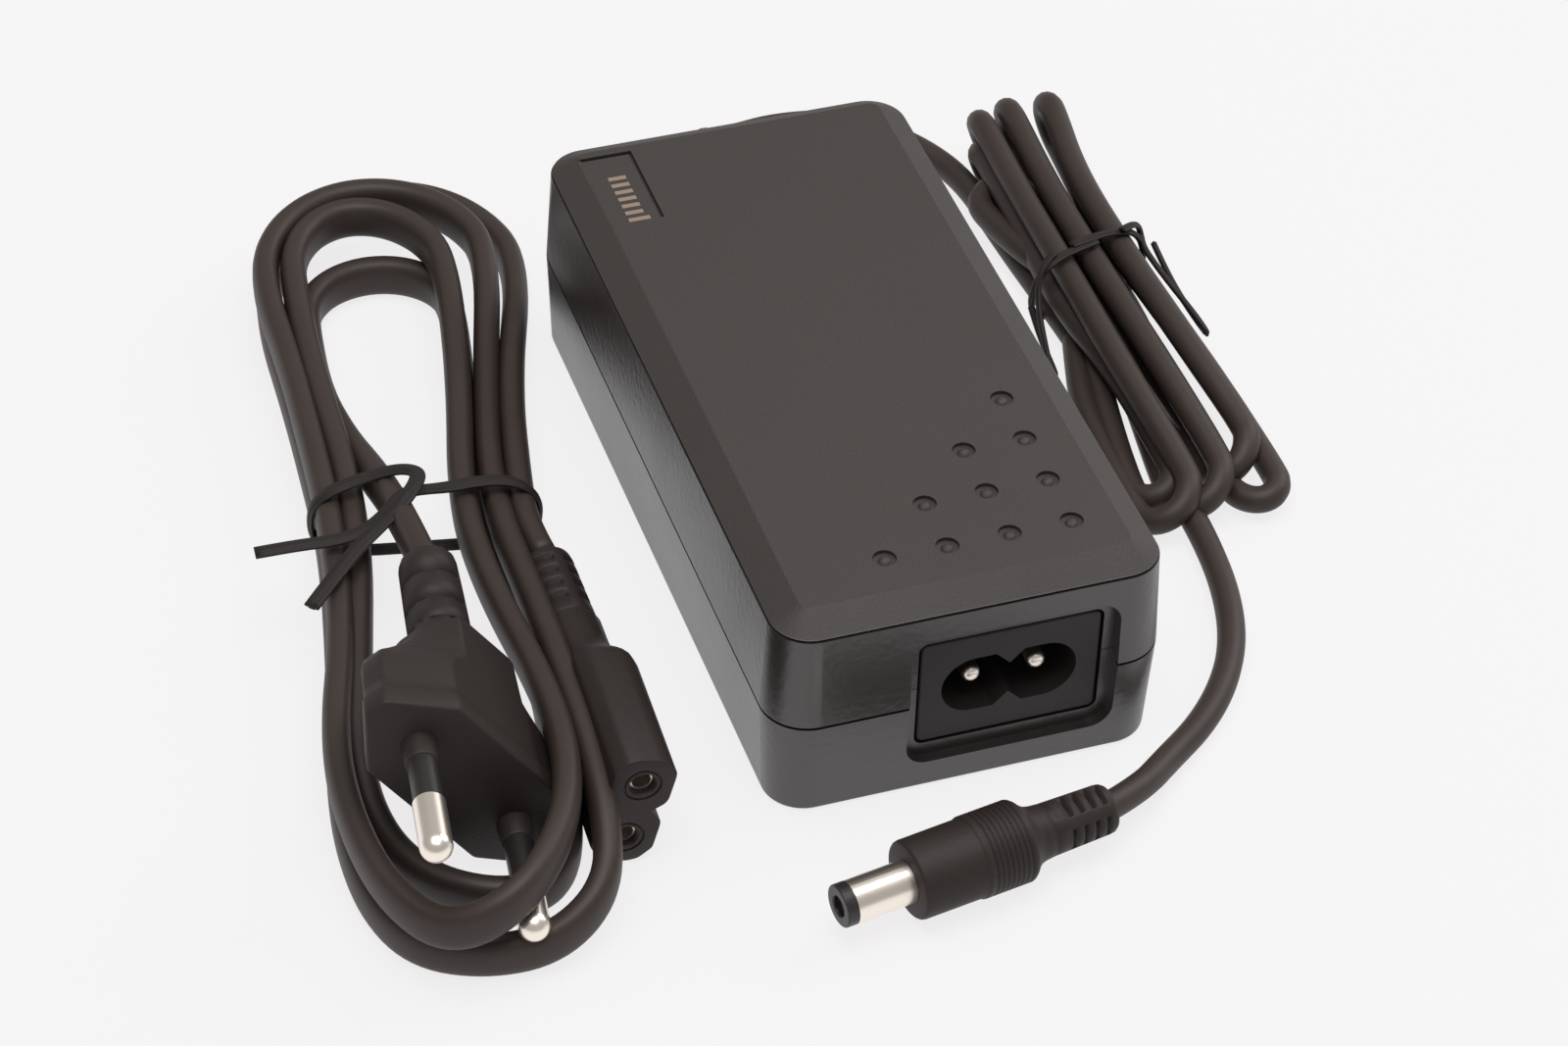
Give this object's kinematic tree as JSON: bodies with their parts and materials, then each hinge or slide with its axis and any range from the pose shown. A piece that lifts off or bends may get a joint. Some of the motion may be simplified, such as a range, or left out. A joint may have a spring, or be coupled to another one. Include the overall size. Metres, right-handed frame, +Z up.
{
  "type": "laptop power adapter",
  "caption": "Slim black power brick with a chamfered top, a coiled output lead with a barrel plug, and a loose coiled mains lead with a flat plug and figure-eight connector.",
  "frame": {"origin": "bottom centre of the brick, on the surface it lies on", "axes": "+Z up, -Y out of the mains inlet, +X to the right when looking along +Y; the brick is longest along Y"},
  "size_m": [0.1425, 0.1607, 0.0305],
  "materials": {
    "shell_plastic": "fine spark-eroded texture, matte",
    "light_pipe": "frosted translucent",
    "inlet_plastic": "matte moulded",
    "nickel": "nickel plated",
    "wire_insulation": "insulated wire",
    "board": "solder mask",
    "sheet": "thin film",
    "fuse_ceramic": "ceramic",
    "component_grey": "film capacitor case",
    "ferrite": "ferrite",
    "copper": "enamelled wire",
    "component_black": "epoxy case",
    "capacitor_sleeve": "shrink sleeve",
    "aluminium": "bare sheet",
    "winding": "polyester tape",
    "component_blue": "ceramic disc coating",
    "led_lens": "clear lens",
    "plug_plastic": "soft moulded",
    "cord_jacket": "soft satin jacket",
    "tie_wire": "plastic-coated wire"
  },
  "bodies": {
    "adapter": {"bottom_shell": "shell_plastic", "top_shell": "shell_plastic", "light_pipe": "light_pipe", "inlet_housing": "inlet_plastic", "inlet_pins": "nickel", "inlet_wires": "wire_insulation", "circuit_board": "board", "insulation_sheet": "sheet", "fuse": "fuse_ceramic", "x_capacitor": "component_grey", "filter_choke_core": "ferrite", "filter_choke_windings": "copper", "bridge_rectifier": "component_black", "bulk_capacitor": "capacitor_sleeve", "primary_heatsink": "aluminium", "switching_transistor": "component_black", "transformer_core": "ferrite", "transformer_winding": "winding", "controller_chip": "component_black", "optocoupler": "component_black", "y_capacitor": "component_blue", "secondary_heatsink": "aluminium", "output_rectifier": "component_black", "output_capacitors": "capacitor_sleeve", "output_choke": "copper", "indicator_led": "led_lens", "cable_gland": "plug_plastic", "output_wires": "wire_insulation", "dc_lead_start": "cord_jacket", "dc_lead_end": "cord_jacket", "dc_hank": "cord_jacket", "dc_tie": "tie_wire", "dc_plug_tip_ring": "plug_plastic", "dc_plug_sleeve": "nickel", "dc_plug_contact": "nickel", "dc_plug_grip": "plug_plastic"},
    "mains_lead": {"mains_hank": "cord_jacket", "mains_cord_to_plug": "cord_jacket", "mains_cord_to_connector": "cord_jacket", "mains_tie": "tie_wire", "mains_plug_body": "plug_plastic", "mains_plug_sleeves": "plug_plastic", "mains_plug_pins": "nickel", "connector_body": "plug_plastic", "connector_contacts": "nickel"}
  },
  "joints": [
    {"name": "mains_lead_lift", "type": "slide", "parent": "adapter", "child": "mains_lead", "axis": [0, 0, 1], "range_m": [0, 0.08]}
  ]
}
